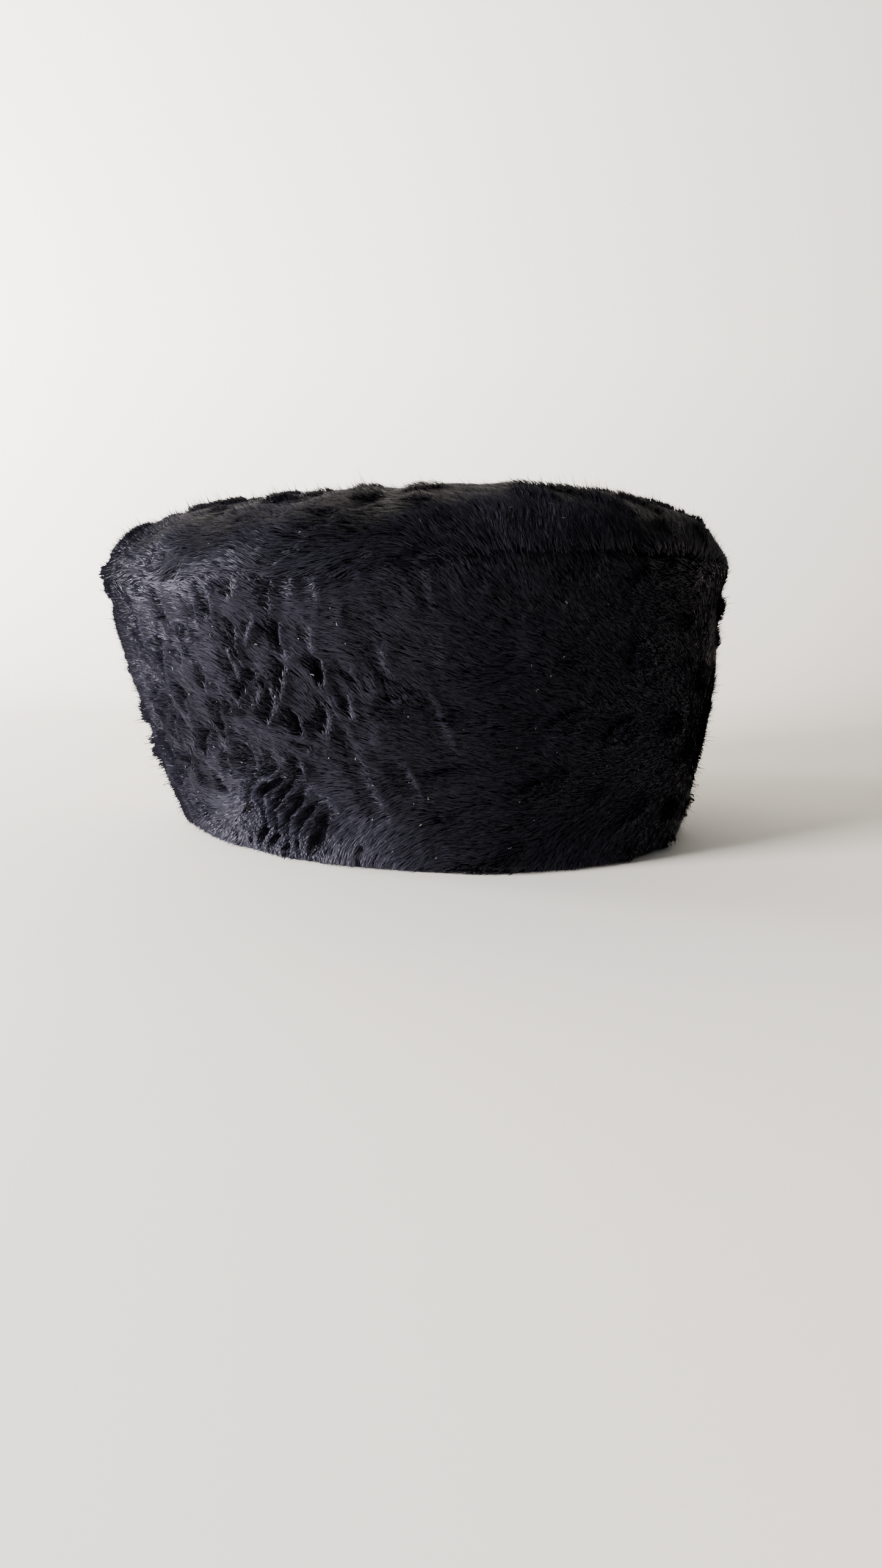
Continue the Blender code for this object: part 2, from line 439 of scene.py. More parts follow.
class HatSettings(bpy.types.PropertyGroup):
    cloth: bpy.props.PointerProperty(type=HatClothSettings)
    pile: bpy.props.PointerProperty(type=HatPileSettings)
    lint: bpy.props.PointerProperty(type=HatLintSettings)
    stage: bpy.props.PointerProperty(type=HatStageSettings)


def settings():
    return bpy.context.scene.cossack_hat


# Random fields and small helpers


def make_field(seed, wavelength, stretch):
    """Wave vectors and phases of a field of random plane waves."""
    rng = np.random.default_rng(seed)
    directions = rng.normal(size=(WAVES_IN_FIELD, 3))
    directions /= np.linalg.norm(directions, axis=1, keepdims=True)
    lengths = wavelength * rng.uniform(*WAVE_SPREAD, size=(WAVES_IN_FIELD, 1))
    phases = rng.uniform(0, 2 * math.pi, WAVES_IN_FIELD)
    return 2 * math.pi * directions / lengths / np.array(stretch), phases


def field_value(name, points):
    """A field at some points, spread about 0 with a deviation of 1."""
    waves, phases = make_field(*FIELDS[name])
    return np.cos(points @ waves.T + phases).sum(axis=1) * math.sqrt(2 / WAVES_IN_FIELD)


def field_slope(name, points):
    """The direction in which a field rises, times about 1 wavelength."""
    waves, phases = make_field(*FIELDS[name])
    slopes = -np.sin(points @ waves.T + phases) @ waves
    return slopes * math.sqrt(2 / WAVES_IN_FIELD) * FIELDS[name][1] / (2 * math.pi)


def smooth_step(values, low, high):
    share = np.clip((values - low) / (high - low), 0, 1)
    return share * share * (3 - 2 * share)


def between(ends, share):
    """The value at a share of the way from the first end to the second."""
    return ends[0] + (ends[1] - ends[0]) * share


def unit(vectors):
    return vectors / np.maximum(np.linalg.norm(vectors, axis=1, keepdims=True), 1e-12)


def along(vectors, directions):
    """Dot products, as a column."""
    return (vectors * directions).sum(axis=1, keepdims=True)


def turn_of(points):
    """Turn round the hat, in radians from 0 to a whole turn."""
    return np.arctan2(-points[:, 0], -points[:, 1]) % (2 * math.pi)


# Objects


def add_object(name, data, materials=()):
    """An object in the scene, and on it the materials of its mesh."""
    for material in materials:
        data.materials.append(material)
    item = bpy.data.objects.new(name, data)
    bpy.context.scene.collection.objects.link(item)
    return item


def object_from_bmesh(name, bm, materials):
    """As add_object, from a bmesh, which is freed."""
    mesh = bpy.data.meshes.new(name)
    bm.to_mesh(mesh)
    bm.free()
    return add_object(name, mesh, materials)


# Materials


def set_inputs(node, values):
    for name, value in values.items():
        node.inputs[name].default_value = value


def new_material(name, roughness):
    """A material, its node tree and its shader."""
    material = bpy.data.materials.new(name)
    material.use_nodes = True
    shader = material.node_tree.nodes["Principled BSDF"]
    set_inputs(shader, {"Roughness": roughness})
    return material, material.node_tree, shader


def mix_node(nodes, blend="MIX"):
    """A node that blends two colours, in full where nothing is linked to its factor."""
    mix = nodes.new("ShaderNodeMix")
    mix.data_type = "RGBA"
    mix.blend_type = blend
    set_inputs(mix, {"Factor": 1.0})
    return mix


def uneven_dye():
    """The node group that makes a colour a little uneven, as dye takes on fibre."""
    old = bpy.data.node_groups.get("uneven_dye")
    if old:
        return old
    group = bpy.data.node_groups.new("uneven_dye", "ShaderNodeTree")
    socket = group.interface.new_socket
    socket("Colour", in_out="INPUT", socket_type="NodeSocketColor")
    socket("Patch Scale", in_out="INPUT", socket_type="NodeSocketFloat")
    socket("Amount", in_out="INPUT", socket_type="NodeSocketFloat")
    socket("Colour", in_out="OUTPUT", socket_type="NodeSocketColor")
    nodes, links = group.nodes, group.links
    inside = nodes.new("NodeGroupInput")
    outside = nodes.new("NodeGroupOutput")
    place = nodes.new("ShaderNodeTexCoord")
    patches = nodes.new("ShaderNodeTexNoise")
    set_inputs(patches, {"Detail": 3})
    spread = nodes.new("ShaderNodeMapRange")
    set_inputs(spread, {"From Min": 0.3, "From Max": 0.7, "To Min": 1.0})
    darker = nodes.new("ShaderNodeMath")
    darker.operation = "SUBTRACT"
    darker.inputs[0].default_value = 1.0
    tint = mix_node(nodes, "MULTIPLY")
    links.new(place.outputs["Object"], patches.inputs["Vector"])
    links.new(inside.outputs["Patch Scale"], patches.inputs["Scale"])
    links.new(patches.outputs["Fac"], spread.inputs["Value"])
    links.new(inside.outputs["Amount"], darker.inputs[1])
    links.new(darker.outputs["Value"], spread.inputs["To Max"])
    links.new(inside.outputs["Colour"], tint.inputs["A"])
    links.new(spread.outputs["Result"], tint.inputs["B"])
    links.new(tint.outputs["Result"], outside.inputs["Colour"])
    return group


def add_dye(tree, shader, scale, amount):
    """The dye group, placed before the shader's colour. Returns its node."""
    dye = tree.nodes.new("ShaderNodeGroup")
    dye.node_tree = uneven_dye()
    set_inputs(dye, {"Patch Scale": scale, "Amount": amount})
    tree.links.new(dye.outputs["Colour"], shader.inputs["Base Color"])
    return dye


def pile_material(name, specular, rough_low, rough_high, shade):
    """Fibre, darker from its tip down to its root as painted shade deep in the pile, with a tone and a gloss
    of its own for each strand.
    """
    pile = settings().pile
    material, tree, shader = new_material(name, rough_low)
    set_inputs(shader, {"Specular IOR Level": specular, "Specular Tint": (0.86, 0.82, 1.0, 1.0)})
    strand = tree.nodes.new("ShaderNodeAttribute")
    strand.attribute_name = "strand"
    parts = tree.nodes.new("ShaderNodeSeparateColor")
    colour = mix_node(tree.nodes)
    set_inputs(colour, {"A": (*pile.shaded_root_colour, 1.0), "B": (*(Vector(pile.tip_colour) * shade), 1.0)})
    tone = mix_node(tree.nodes, "MULTIPLY")
    gloss = tree.nodes.new("ShaderNodeMapRange")
    set_inputs(gloss, {"To Min": rough_low, "To Max": rough_high})
    dye = add_dye(tree, shader, scale=45, amount=0.35)
    links = tree.links
    links.new(strand.outputs["Color"], parts.inputs["Color"])
    # the height in the pile mixes from the root colour to the tip colour: painted shade deep in the pile
    links.new(parts.outputs["Red"], colour.inputs["Factor"])
    links.new(colour.outputs["Result"], tone.inputs["A"])
    # the green tone carries the painted shade of the crown's top and of the dull places
    links.new(parts.outputs["Green"], tone.inputs["B"])
    links.new(tone.outputs["Result"], dye.inputs["Colour"])
    links.new(parts.outputs["Blue"], gloss.inputs["Value"])
    links.new(gloss.outputs["Result"], shader.inputs["Roughness"])
    return material


def ground_material():
    """The outer side of the cloth, between the roots."""
    material, tree, shader = new_material("pile_ground", roughness=0.9)
    set_inputs(shader, {"Specular IOR Level": 0.0})
    dye = add_dye(tree, shader, scale=90, amount=0.5)
    set_inputs(dye, {"Colour": (*settings().cloth.ground_colour, 1.0)})
    return material


def back_material():
    """The knitted back of the cloth: ribs a millimetre apart, crossed by rows of loops, with painted shade
    between them and painted light on them.
    """
    material, tree, shader = new_material("knitted_back", roughness=0.85)
    set_inputs(shader, {"Sheen Weight": 0.15})
    dye = add_dye(tree, shader, scale=70, amount=0.4)
    nodes, links = tree.nodes, tree.links
    place = nodes.new("ShaderNodeTexCoord")
    ribs = nodes.new("ShaderNodeTexWave")
    ribs.bands_direction = "Z"
    set_inputs(ribs, {"Scale": 300, "Distortion": 1.5, "Detail": 1})
    loops = nodes.new("ShaderNodeTexVoronoi")
    set_inputs(loops, {"Scale": 900})
    knit = nodes.new("ShaderNodeMath")
    knit.operation = "SUBTRACT"
    # the knit's height sets its colour too: painted shade where it is low and painted light where it is high
    shade = mix_node(nodes)
    colour = Vector(settings().cloth.back_colour)
    dark, light = ((*(colour * tone), 1.0) for tone in BACK_PAINTED_SHADE_AND_LIGHT)
    set_inputs(shade, {"A": dark, "B": light})
    bump = nodes.new("ShaderNodeBump")
    set_inputs(bump, {"Strength": 0.7, "Distance": 0.0004})
    links.new(place.outputs["Object"], ribs.inputs["Vector"])
    links.new(place.outputs["Object"], loops.inputs["Vector"])
    links.new(ribs.outputs["Fac"], knit.inputs[0])
    links.new(loops.outputs["Distance"], knit.inputs[1])
    links.new(knit.outputs["Value"], shade.inputs["Factor"])
    links.new(shade.outputs["Result"], dye.inputs["Colour"])
    links.new(knit.outputs["Value"], bump.inputs["Height"])
    links.new(bump.outputs["Normal"], shader.inputs["Normal"])
    return material


def lint_material():
    material, tree, shader = new_material("pale_lint", roughness=0.8)
    dye = add_dye(tree, shader, scale=400, amount=0.6)
    set_inputs(dye, {"Colour": (*settings().lint.colour, 1.0)})
    return material


def stage_material():
    material, tree, shader = new_material("pale_paint", roughness=0.75)
    dye = add_dye(tree, shader, scale=3, amount=0.04)
    set_inputs(dye, {"Colour": (*settings().stage.floor_colour, 1.0)})
    return material


# Cloth


def merged_mesh(node):
    """A bmesh of a CAD node with its loose triangles joined to one skin of quads."""
    bm = bmesh.new()
    bm.from_mesh(frame["nodes"][node].data)
    bmesh.ops.remove_doubles(bm, verts=bm.verts, dist=MERGE_DISTANCE)
    bmesh.ops.join_triangles(
        bm, faces=bm.faces, angle_face_threshold=JOIN_ANGLE, angle_shape_threshold=JOIN_ANGLE
    )
    bm.normal_update()
    return bm


def outwardness(vert):
    """From 0 on the hollow side of a wall to 1 on its outer side."""
    middle = Vector((0, 0, HAT_MIDDLE.z * HOLLOW_PLACE))
    facing = vert.normal.dot((vert.co - middle).normalized())
    return float(smooth_step(facing, *OUTER_FACING))


def shrink_for_pile(bm, other):
    """Sinks the outer side to where the pile is rooted, and notes the depth that it leaves at each vertex."""
    cloth = settings().cloth
    seam = BVHTree.FromBMesh(other)
    depth_layer = bm.verts.layers.float.new("pile_depth")
    growth_layer = bm.verts.layers.float.new("growth")
    swells = field_value("swell", np.array([vert.co for vert in bm.verts]))
    swells = np.clip(swells, -SWELL_LIMIT, SWELL_LIMIT).tolist()
    moves = []
    for vert, swell in zip(bm.verts, swells):
        apart = seam.find_nearest(vert.co)[3]
        outer = outwardness(vert)
        away = float(smooth_step(apart, ROOT_START, cloth.seam_width))
        depth = cloth.pile_depth * outer * away
        vert[depth_layer] = depth
        vert[growth_layer] = outer * float(smooth_step(apart, *BARE_SEAM))
        moves.append(vert.normal * (cloth.swell * swell * outer * away - depth))
    for vert, move in zip(bm.verts, moves):
        vert.co += move


def make_cloth(node, other_node, materials):
    """The padded cloth of one CAD node, which it replaces."""
    bm = merged_mesh(node)
    other = merged_mesh(other_node)
    shrink_for_pile(bm, other)
    other.free()
    growth_layer = bm.verts.layers.float["growth"]
    for face in bm.faces:
        face.smooth = True
        face.material_index = 0 if max(vert[growth_layer] for vert in face.verts) > GROUND_GROWTH else 1
    cloth = object_from_bmesh(CLOTH_NAMES[node], bm, materials)
    rounded = cloth.modifiers.new("Rounded", "SUBSURF")
    rounded.levels = 1
    rounded.render_levels = 1
    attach(cloth, BODY)
    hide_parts(node)


# Pile


def read_surface(cloth):
    """The finished cloth as arrays: each triangle's corners, and each vertex's place, normal and layers."""
    depsgraph = bpy.context.evaluated_depsgraph_get()
    evaluated = cloth.evaluated_get(depsgraph)
    mesh = evaluated.to_mesh()
    mesh.calc_loop_triangles()
    corners = np.empty(len(mesh.loop_triangles) * 3, np.int32)
    mesh.loop_triangles.foreach_get("vertices", corners)
    count = len(mesh.vertices)
    surface = {"corners": corners.reshape(-1, 3)}
    for key, attribute, size in (("place", "co", 3), ("normal", "normal", 3)):
        values = np.empty(count * size, np.float32)
        mesh.vertices.foreach_get(attribute, values)
        surface[key] = values.reshape(count, size).astype(float)
    for key in ("pile_depth", "growth"):
        values = np.empty(count, np.float32)
        mesh.attributes[key].data.foreach_get("value", values)
        surface[key] = values.astype(float)
    evaluated.to_mesh_clear()
    return surface


def scatter(surface, count, rng):
    """Random roots on the growing side of a surface: their places, normals and pile depths."""
    corners = surface["corners"]
    a, b, c = (surface["place"][corners[:, i]] for i in range(3))
    area = np.linalg.norm(np.cross(b - a, c - a), axis=1) / 2
    weight = area * np.clip(surface["growth"][corners].mean(axis=1) - LEAST_GROWTH, 0, 1)
    chosen = rng.choice(len(corners), size=count, p=weight / weight.sum())
    shares = rng.random((count, 2))
    over = shares.sum(axis=1) > 1
    shares[over] = 1 - shares[over]
    shares = np.column_stack((1 - shares.sum(axis=1), shares))
    blend = {}
    for key in ("place", "normal", "pile_depth"):
        values = surface[key][corners[chosen]]
        blend[key] = np.einsum("ij,ij...->i...", shares, values)
    return blend["place"], unit(blend["normal"]), blend["pile_depth"]


def band_nap(roots, normals):
    """The nap on the band: unit directions round the hat and up it, and how steeply the nap climbs."""
    outward = roots * (1, 1, 0)
    around = np.cross(outward, (0, 0, 1))
    around = unit(around - normals * along(around, normals))
    up = np.cross(around, normals)
    heights, climbs = zip(*NAP_CLIMB)
    climb = np.radians(np.interp(roots[:, 2] / SEAM_HEIGHT, heights, climbs))
    return around, up, climb


def crown_nap(roots, normals):
    """As band_nap, on the crown tip: from the front to the back, and along the band at both sides."""
    across, back = roots[:, 0] / HALF_WIDTH, roots[:, 1] / HALF_LENGTH
    straight = np.ones_like(roots)
    straight[:, 0] = -2 * across * back
    straight[:, 2] = -CROWN_DIP * back
    ahead = unit(straight - normals * along(straight, normals))
    return ahead, np.cross(ahead, normals), np.zeros(len(roots))


def nap_directions(node, roots, normals):
    """Unit directions in which the strands lean over, with swirls and a slight sway."""
    ahead, side, climb = band_nap(roots, normals) if node == BAND else crown_nap(roots, normals)
    climb = climb + SWIRL * field_value("swirl", roots) + SWAY * field_value("sway", roots)
    climb = climb[:, None]
    return ahead * np.cos(climb) + side * np.sin(climb)


def whorls(points):
    """The half rings of the whorls at some points of the band, and how far inside a whorl each point is.

    The rings are 0 on their crests and 1 at the bottom between them.
    """
    warp = RING_WARP * field_value("warp", points)
    radius = np.linalg.norm(points[:, :2], axis=1)
    rings, inside = np.zeros(len(points)), np.zeros(len(points))
    for turn, height, inner, outer, wavelength, depth in WHORLS.values():
        apart = (turn_of(points) - math.radians(turn) + math.pi) % (2 * math.pi) - math.pi
        away = np.hypot(apart * radius, points[:, 2] - height)
        behind = smooth_step(apart * radius / np.maximum(away, 1e-6), *WHORL_BEHIND)
        begun = smooth_step(away, inner, inner + WHORL_START)
        ended = smooth_step(away, outer * WHORL_END, outer)
        share = depth * behind * begun * (1 - ended)
        ring = smooth_step(np.cos(2 * math.pi * (away + warp) / wavelength), *RING_SIDE)
        rings = np.maximum(rings, ring * share)
        inside = np.maximum(inside, share)
    return rings, inside


def right_side_furrows(points):
    """How deep the table's furrows are at some points of the band."""
    spread = 1 + FURROW_WARP * field_value("warp", points)
    radius = np.linalg.norm(points[:, :2], axis=1)
    depth = np.zeros(len(points))
    for turn, height, length, width, slant, bottom in FURROWS:
        back = (turn_of(points) - math.radians(turn)) * radius
        up = points[:, 2] - height
        slant = math.radians(slant)
        along_it = up * math.cos(slant) + back * math.sin(slant)
        across_it = back * math.cos(slant) - up * math.sin(slant)
        beyond = np.maximum(np.abs(along_it) - (length - width) / 2, 0)
        away = np.hypot(beyond, across_it) / (width / 2)
        depth = np.maximum(depth, bottom * (1 - smooth_step(away * spread, *FURROW_SIDE)))
    return depth


def furrow_lines(name, points, reach=LINE_REACH):
    """1 along the lines where a field is 0, and 0 away from them."""
    steepness = np.maximum(np.linalg.norm(field_slope(name, points), axis=1), LEAST_SLOPE)
    apart = np.abs(field_value(name, points)) / steepness * FIELDS[name][1] / (2 * math.pi)
    return 1 - smooth_step(apart, *reach)


def furrow(node, points):
    """How deep in a furrow of the pile some points are: 0 on the smooth pile, 1 at the bottom."""
    lines, breaks, edge, pits, full = FIELD_FURROWS[node]
    depth = furrow_lines(lines, points) * smooth_step(field_value(breaks, points), *edge)
    depth = full * np.maximum(depth, PIT_DEPTH * smooth_step(field_value(pits, points), *PIT_EDGE))
    return band_furrow(points, depth) if node == BAND else depth


def band_furrow(points, depth):
    """The fields' furrows on the band, calmed at the front, with those of the right side and the whorls."""
    turns = np.degrees(turn_of(points))
    from_front = np.minimum(turns, 360 - turns)
    depth = depth * between((FRONT_DEPTH, 1), smooth_step(from_front, *CALM_FRONT))
    start, full, end, gone = RIGHT_SIDE
    picked = smooth_step(turns, start, full) * (1 - smooth_step(turns, end, gone))
    fine = FINE_DEPTH * smooth_step(field_value("fine_breaks", points), *FINE_BREAKS)
    fine *= furrow_lines("fine_lines", points, FINE_REACH)
    right = picked * np.maximum(fine, right_side_furrows(points))
    depth = np.maximum(depth * (1 - RIGHT_CALM * picked), right)
    rings, inside = whorls(points)
    depth = np.maximum(depth * (1 - inside), rings)
    return depth * smooth_step(points[:, 2], *RIM_CALM)


def over_the_seam(roots, normals, depths):
    """The normals of the pile's own surface, which bridges the groove of the seam."""
    outward = unit(roots * (1 / HALF_WIDTH**2, 1 / HALF_LENGTH**2, 0)) + (0, 0, SEAM_TILT)
    thin = 1 - np.clip(depths / settings().cloth.pile_depth, 0, 1)
    return unit(normals + SEAM_BRIDGE * thin[:, None] * unit(outward))


def strand_lean(node, roots, normals, rng):
    """Unit directions along the cloth in which the strands lean, each a little off the nap."""
    lean = unit(nap_directions(node, roots, normals) + rng.normal(scale=LEAN_SPREAD, size=roots.shape))
    return unit(lean - normals * along(lean, normals))


def tip_pull(roots, normals):
    """Moves along the cloth that draw the tips together to tufts and wisps."""
    pull = sum(reach * field_slope(name, roots) for name, reach in PULLS)
    return pull - normals * along(pull, normals)


def strand_points(node, surface, count, rng):
    """The points of some strands, as strands by corners by 3.

    Also for each point how high in the pile it is, as a share of the pile's depth, and how deep in a furrow.
    """
    pile = settings().pile
    roots, normals, depths = scatter(surface, count, rng)
    normals = over_the_seam(roots, normals, depths)
    depth = np.maximum(depths, SEAM_PILE)[:, None]
    guard = rng.random((count, 1)) < GUARD_SHARE
    low = furrow(node, roots)[:, None]
    spread = rng.random((count, 1)) ** 2
    layer = np.where(guard, between(GUARD_LAYERS, spread), between(PILE_LAYERS, spread))
    layer *= 1 - SUNK_LAYER * low
    layer *= 1 + TUFT_RISE * smooth_step(field_value("tufts", roots), *TUFT_EDGE)[:, None]
    length = pile.strand_length * rng.uniform(*LENGTH_SPREAD, (count, 1)) * (1 - SUNK_LENGTH * low)
    length *= np.where(guard, GUARD_LENGTH, 1.0)
    reach = np.sqrt(np.maximum(BENT * length**2 - (depth * layer) ** 2, (LEAST_REACH * length) ** 2))
    bend = np.where(guard, GUARD_BEND, STRAND_BEND)
    if node == BAND:
        inside = whorls(roots)[1][:, None]
        reach *= 1 - WHORL_CUT * inside
        bend += WHORL_BEND * inside
    lean = strand_lean(node, roots, normals, rng)
    cut = rng.uniform(*CUT, (count, 1))
    for share in CUT_BACK:
        reach *= 1 - cut * furrow(node, roots + lean * (reach * share))[:, None]
    pull = tip_pull(roots, normals)
    middle = np.empty((count, len(STRAND_STATIONS), 3))
    shares = np.zeros((count, len(STRAND_STATIONS)))
    sunk = np.zeros((count, len(STRAND_STATIONS)))
    middle[:, 0] = roots
    sunk[:, 0] = low[:, 0]
    for i, station in enumerate(STRAND_STATIONS[1:], start=1):
        flat = roots + lean * (reach * station) + pull * station**2
        here = furrow(node, flat)[:, None]
        crest = np.clip(furrow(node, flat + lean * CREST_WIDTH)[:, None] - here, 0, 1)
        ceiling = 1 - pile.furrow_depth * here + CREST_RISE * crest
        rise = (1 - (1 - station) ** bend) * (1 + CREST_RISE * crest)
        share = layer * np.minimum(rise, ceiling)
        middle[:, i] = flat + normals * (depth * share)
        shares[:, i] = share[:, 0]
        sunk[:, i] = here[:, 0]
    points = middle[:, STRAND_CORNERS]
    points += strand_sides(points, normals, rng, pile.strand_width * np.where(guard, GUARD_WIDTH, 1.0))
    points[:, :, 2] = np.maximum(points[:, :, 2], PRESSED)
    return points, shares[:, STRAND_CORNERS], sunk[:, STRAND_CORNERS]


def strand_sides(points, normals, rng, width):
    """Moves from the middle line of each strand to its sides, with each strand twisted its own way."""
    axis = unit(points[:, -1] - points[:, 1])
    side = unit(np.cross(normals, axis))
    over = np.cross(axis, side)
    twist = rng.normal(scale=STRAND_TWIST, size=(len(points), 1))
    across = (side * np.cos(twist) + over * np.sin(twist)) * width
    across *= rng.uniform(*WIDTH_SPREAD, (len(points), 1))
    return across[:, None, :] * STRAND_SIDES[None, :, None]


def mesh_from_strands(name, points, shares, sunk, rng):
    """One mesh of all strands.

    The colour of a point says how high in the pile it is in red, which the material turns into painted shade
    towards the root, its strand's tone in green, with the painted shade of the crown's top and of the dull
    places, and its gloss in blue. Each strand has a cell of its own on the UV map.
    """
    count, stations = points.shape[:2]
    first = np.arange(count)[:, None, None] * stations
    corners = (first + STRAND_TRIANGLES[None]).reshape(-1).astype(np.int32)
    triangles = len(corners) // 3
    mesh = bpy.data.meshes.new(name)
    mesh.vertices.add(count * stations)
    mesh.vertices.foreach_set("co", points.astype(np.float32).ravel())
    mesh.loops.add(len(corners))
    mesh.loops.foreach_set("vertex_index", corners)
    mesh.polygons.add(triangles)
    mesh.polygons.foreach_set("loop_start", np.arange(triangles, dtype=np.int32) * 3)
    # dull strands are matt, and darker as painted shade
    dull_and_shaded = dullness_and_painted_shade(points[:, 0])[:, None]
    finish = np.where(rng.random((count, 1)) < dull_and_shaded, MATT, (MATT, BLACK))
    # halves of strands sunk in a furrow take the deep finish: painted shade
    deep = sunk[:, STRAND_TRIANGLES].mean(axis=2) > rng.uniform(*DEEP, (count, 1))
    finish = np.where(deep, SHADED_DEEP_FINISH, finish)
    mesh.polygons.foreach_set("material_index", finish.ravel().astype(np.int32))
    mesh.update(calc_edges=True)
    mesh.validate()
    mesh.shade_smooth()
    strand = mesh.color_attributes.new("strand", "FLOAT_COLOR", "POINT")
    values = np.ones((count, stations, 4), np.float32)
    values[:, :, 0] = shares
    # painted shade: the tone falls towards the crown's top and in the dull places
    low, high, painted_top_shade = TOP_PAINTED_SHADE
    tone = between((1, painted_top_shade), smooth_step(points[:, :1, 2], low, high)) * between((1, DULL_PAINTED_SHADE), dull_and_shaded)
    values[:, :, 1] = rng.uniform(*TONE_SPREAD, (count, 1)) * tone
    values[:, :, 2] = rng.random((count, 1))
    strand.data.foreach_set("color", values.ravel())
    cells = mesh.uv_layers.new(name="OFBake")
    cells.data.foreach_set("uv", cell_corners(count).astype(np.float32)[corners].ravel())
    return mesh


def cell_corners(count):
    """For each strand's points, a place in the strand's own cell of a square grid of cells."""
    across = math.ceil(math.sqrt(count))
    index = np.arange(count)
    cell = np.column_stack((index % across, index // across))[:, None, :]
    spot = np.column_stack((0.5 + STRAND_SIDES, STRAND_STATIONS[STRAND_CORNERS]))[None]
    spot = between((CELL_MARGIN, 1 - CELL_MARGIN), spot)
    return ((cell + spot) / across).reshape(-1, 2)


def dullness_and_painted_shade(points):
    """The share of dull strands at some points, which are also darker as painted shade."""
    turns = np.degrees(turn_of(points))
    dull_and_shaded = np.zeros(len(points))
    for turn, reach, share in DULL_AND_SHADED_PLACES:
        apart = (turns - turn + 180) % 360 - 180
        dull_and_shaded = np.maximum(dull_and_shaded, share * np.exp(-((apart / reach) ** 2)))
    return dull_and_shaded * (1 - smooth_step(points[:, 2], *DULL_AND_SHADED_RISE))


def add_strand_piece(name, points, shares, sunk, materials, rng):
    """One piece of the pile, which rides the hat."""
    piece = add_object(name, mesh_from_strands(name, points, shares, sunk, rng), materials)
    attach(piece, BODY)


def split_by_turn(points, count):
    """The strands' numbers in equal sectors round the hat, the first one round its front."""
    turns = turn_of(points[:, 0])
    sector = 2 * math.pi / count
    index = np.floor(((turns + sector / 2) % (2 * math.pi)) / sector).astype(int)
    return [np.flatnonzero(index == i) for i in range(count)]


# Operators


class HAT_OT_stage(bpy.types.Operator):
    """Set up the floor, the light and the camera"""

    bl_idname = "cossack_hat.stage"
    bl_label = "Stage"

    def execute(self, context):
        stage = settings().stage
        add_backdrop(stage)
        add_camera(stage)
        add_lights(stage)
        return {"FINISHED"}


class HAT_OT_cloth(bpy.types.Operator):
    """Make the padded cloths of the side band and the crown tip"""

    bl_idname = "cossack_hat.cloth"
    bl_label = "Fur cloth"

    def execute(self, context):
        materials = [ground_material(), back_material()]
        make_cloth(BAND, CROWN, materials)
        make_cloth(CROWN, BAND, materials)
        return {"FINISHED"}


class HAT_OT_pile(bpy.types.Operator):
    """Grow the pile on both cloths"""

    bl_idname = "cossack_hat.pile"
    bl_label = "Pile"

    def execute(self, context):
        pile = settings().pile
        materials = [pile_material(*finish) for finish in PILE_FINISHES]
        for node, count in ((BAND, pile.band_strands), (CROWN, pile.crown_strands)):
            cloth = bpy.data.objects.get(CLOTH_NAMES[node])
            if cloth is None:
                raise RuntimeError("the pile needs its cloth first")
            seed, names = PILE_PIECES[node]
            rng = np.random.default_rng(seed)
            points, shares, sunk = strand_points(node, read_surface(cloth), count, rng)
            for name, index in zip(names, split_by_turn(points, len(names))):
                add_strand_piece(name, points[index], shares[index], sunk[index], materials, rng)
        return {"FINISHED"}


class HAT_OT_lint(bpy.types.Operator):
    """Scatter a little lint on the pile"""

    bl_idname = "cossack_hat.lint"
    bl_label = "Lint"

    def execute(self, context):
        add_lint(settings().lint)
        return {"FINISHED"}


def add_lint(lint):
    """Short curled flecks that lie on the tips of the pile."""
    rng = np.random.default_rng(LINT_SEED)
    bm = bmesh.new()
    for node, share in LINT_SHARES:
        count = round(lint.flecks * share)
        roots, normals, depths = scatter(read_surface(bpy.data.objects[CLOTH_NAMES[node]]), count, rng)
        heading = unit(np.cross(normals, rng.normal(size=(count, 3))))
        for root, normal, depth, ahead in zip(roots, normals, depths, heading):
            side = np.cross(normal, ahead)
            length = lint.fleck_length * rng.uniform(*FLECK_LENGTHS)
            curl = rng.uniform(-FLECK_CURL, FLECK_CURL)
            width = FLECK_WIDTH * rng.uniform(*FLECK_WIDTHS)
            rows = []
            for station in np.linspace(0, 1, FLECK_STATIONS):
                angle = curl * station
                middle = root + normal * (depth + FLECK_LIFT)
                middle = middle + length * station * (ahead * math.cos(angle) + side * math.sin(angle))
                edge = width * (side * math.cos(angle) - ahead * math.sin(angle))
                pair = np.array((middle - edge / 2, middle + edge / 2))
                pair[:, 2] = np.maximum(pair[:, 2], PRESSED)
                rows.append([bm.verts.new(corner) for corner in pair])
            for (a, b), (c, d) in zip(rows, rows[1:]):
                bm.faces.new((a, c, d, b))
    piece = object_from_bmesh("lint", bm, [lint_material()])
    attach(piece, BODY)


# Stage


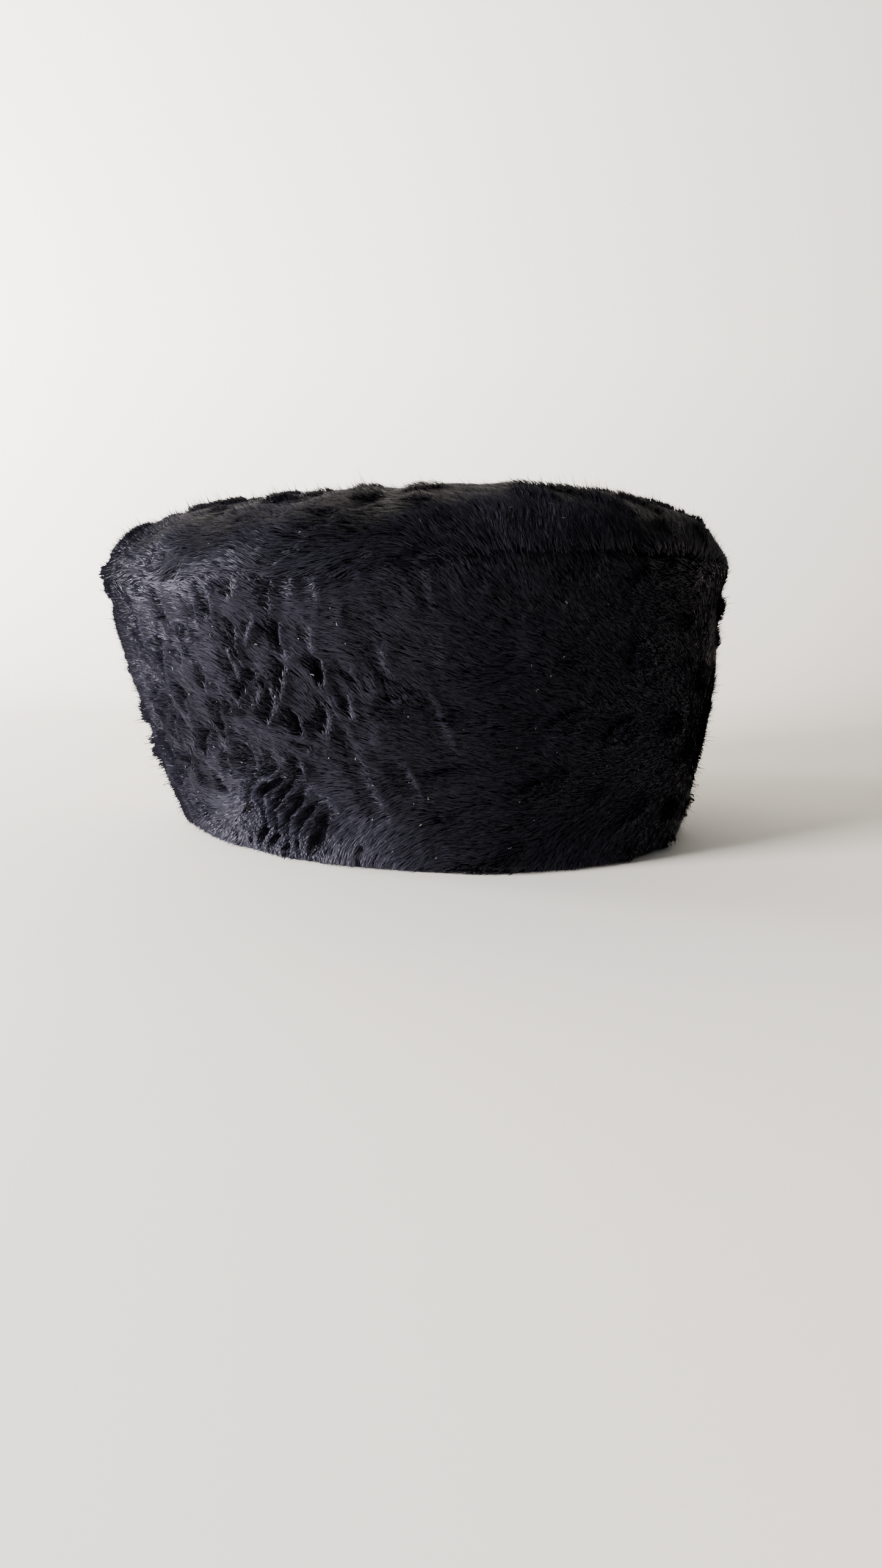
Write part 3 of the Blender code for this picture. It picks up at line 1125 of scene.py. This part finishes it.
def add_backdrop(stage):
    """The floor, which bends up into a wall behind the hat as the camera sees it."""
    bm = bmesh.new()
    bmesh.ops.create_grid(bm, x_segments=1, y_segments=1, size=0.5)
    bmesh.ops.scale(bm, vec=(STAGE_WIDTH, FLOOR_DEPTH, 1), verts=bm.verts)
    bmesh.ops.translate(bm, vec=(0, WALL_DISTANCE - FLOOR_DEPTH / 2, 0), verts=bm.verts)
    back = [edge for edge in bm.edges if all(vert.co.y > 0 for vert in edge.verts)]
    risen = bmesh.ops.extrude_edge_only(bm, edges=back)["geom"]
    tops = [item for item in risen if isinstance(item, bmesh.types.BMVert)]
    bmesh.ops.translate(bm, vec=(0, 0, WALL_HEIGHT), verts=tops)
    bmesh.ops.bevel(
        bm, geom=back, offset=SWEEP_RADIUS, segments=SWEEP_STEPS, profile=0.5, affect="EDGES", material=-1
    )
    turned = Quaternion((0, 0, 1), -stage.camera_turn).to_matrix()
    bmesh.ops.rotate(bm, cent=(0, 0, 0), matrix=turned, verts=bm.verts)
    bmesh.ops.recalc_face_normals(bm, faces=bm.faces)
    for face in bm.faces:
        face.smooth = True
    backdrop = object_from_bmesh("backdrop", bm, [stage_material()])


def away_from_hat(turn, rise):
    """Unit direction at a turn round the hat and an angle above the floor, in radians."""
    return Vector((-math.sin(turn) * math.cos(rise), -math.cos(turn) * math.cos(rise), math.sin(rise)))


def around_hat(turn, rise, distance):
    """A place at a turn round the middle of the hat and an angle above it, in degrees."""
    return HAT_MIDDLE + away_from_hat(math.radians(turn), math.radians(rise)) * distance


def add_camera(stage):
    """A camera whose picture shows the middle of the hat at HAT_PIXEL."""
    data = bpy.data.cameras.new("camera")
    data.lens = stage.lens
    data.sensor_width = SENSOR
    data.clip_start = 0.01
    data.clip_end = 20
    camera = add_object("camera", data)
    back = away_from_hat(stage.camera_turn, stage.camera_rise)
    camera.location = HAT_MIDDLE + back * stage.camera_distance
    pixels = stage.lens / SENSOR * max(IMAGE_SIZE)
    across = (HAT_PIXEL[0] - IMAGE_SIZE[0] / 2) / pixels
    up = (IMAGE_SIZE[1] / 2 - HAT_PIXEL[1]) / pixels
    beside = Vector((across, up, -1))
    aim = (-back).to_track_quat("-Z", "Y")
    camera.rotation_mode = "QUATERNION"
    camera.rotation_quaternion = aim @ Vector((0, 0, -1)).rotation_difference(beside).inverted()
    bpy.context.scene.camera = camera


def add_area_light(name, place, target, power, colour):
    """A soft light that faces a target."""
    data = bpy.data.lights.new(name, "AREA")
    data.shape = "RECTANGLE"
    data.size, data.size_y = LIGHT_SIZE
    data.energy = power
    data.color = colour
    light = add_object(name, data)
    light.location = place
    light.rotation_mode = "QUATERNION"
    light.rotation_quaternion = (target - place).to_track_quat("-Z", "Y")


def add_lights(stage):
    """A window on the wearer's right, a wash for the wall, and an even light from all round."""
    window, wash, wall = (around_hat(*place) for place in (WINDOW_PLACE, WASH_PLACE, WASH_TARGET))
    add_area_light("window", window, HAT_MIDDLE, stage.window_power, WINDOW_COLOUR)
    add_area_light("wall_wash", wash, wall, stage.wash_power, WASH_COLOUR)
    world = bpy.data.worlds.new("room")
    world.use_nodes = True
    background = world.node_tree.nodes["Background"]
    set_inputs(background, {"Color": ROOM_COLOUR, "Strength": stage.room_light})
    bpy.context.scene.world = world


class HAT_PT_panel(bpy.types.Panel):
    """Lists the steps that build the hat and its studio, each with its settings"""

    bl_idname = "HAT_PT_panel"
    bl_label = "Cossack hat"
    bl_space_type = "VIEW_3D"
    bl_region_type = "UI"
    bl_category = "Hat"

    def draw(self, context):
        hat = context.scene.cossack_hat
        for operator, group in (
            (HAT_OT_stage, hat.stage),
            (HAT_OT_cloth, hat.cloth),
            (HAT_OT_pile, hat.pile),
            (HAT_OT_lint, hat.lint),
        ):
            box = self.layout.box()
            box.operator(operator.bl_idname)
            for name in group.__annotations__:
                box.prop(group, name)


CLASSES = (
    HatClothSettings,
    HatPileSettings,
    HatLintSettings,
    HatStageSettings,
    HatSettings,
    HAT_OT_stage,
    HAT_OT_cloth,
    HAT_OT_pile,
    HAT_OT_lint,
    HAT_PT_panel,
)


def register():
    for cls in CLASSES:
        bpy.utils.register_class(cls)
    bpy.types.Scene.cossack_hat = bpy.props.PointerProperty(type=HatSettings)


def unregister():
    del bpy.types.Scene.cossack_hat
    for cls in reversed(CLASSES):
        bpy.utils.unregister_class(cls)


def main():
    register()
    bpy.ops.cossack_hat.stage()
    bpy.ops.cossack_hat.cloth()
    bpy.ops.cossack_hat.pile()
    bpy.ops.cossack_hat.lint()


if __name__ == "__main__":
    main()
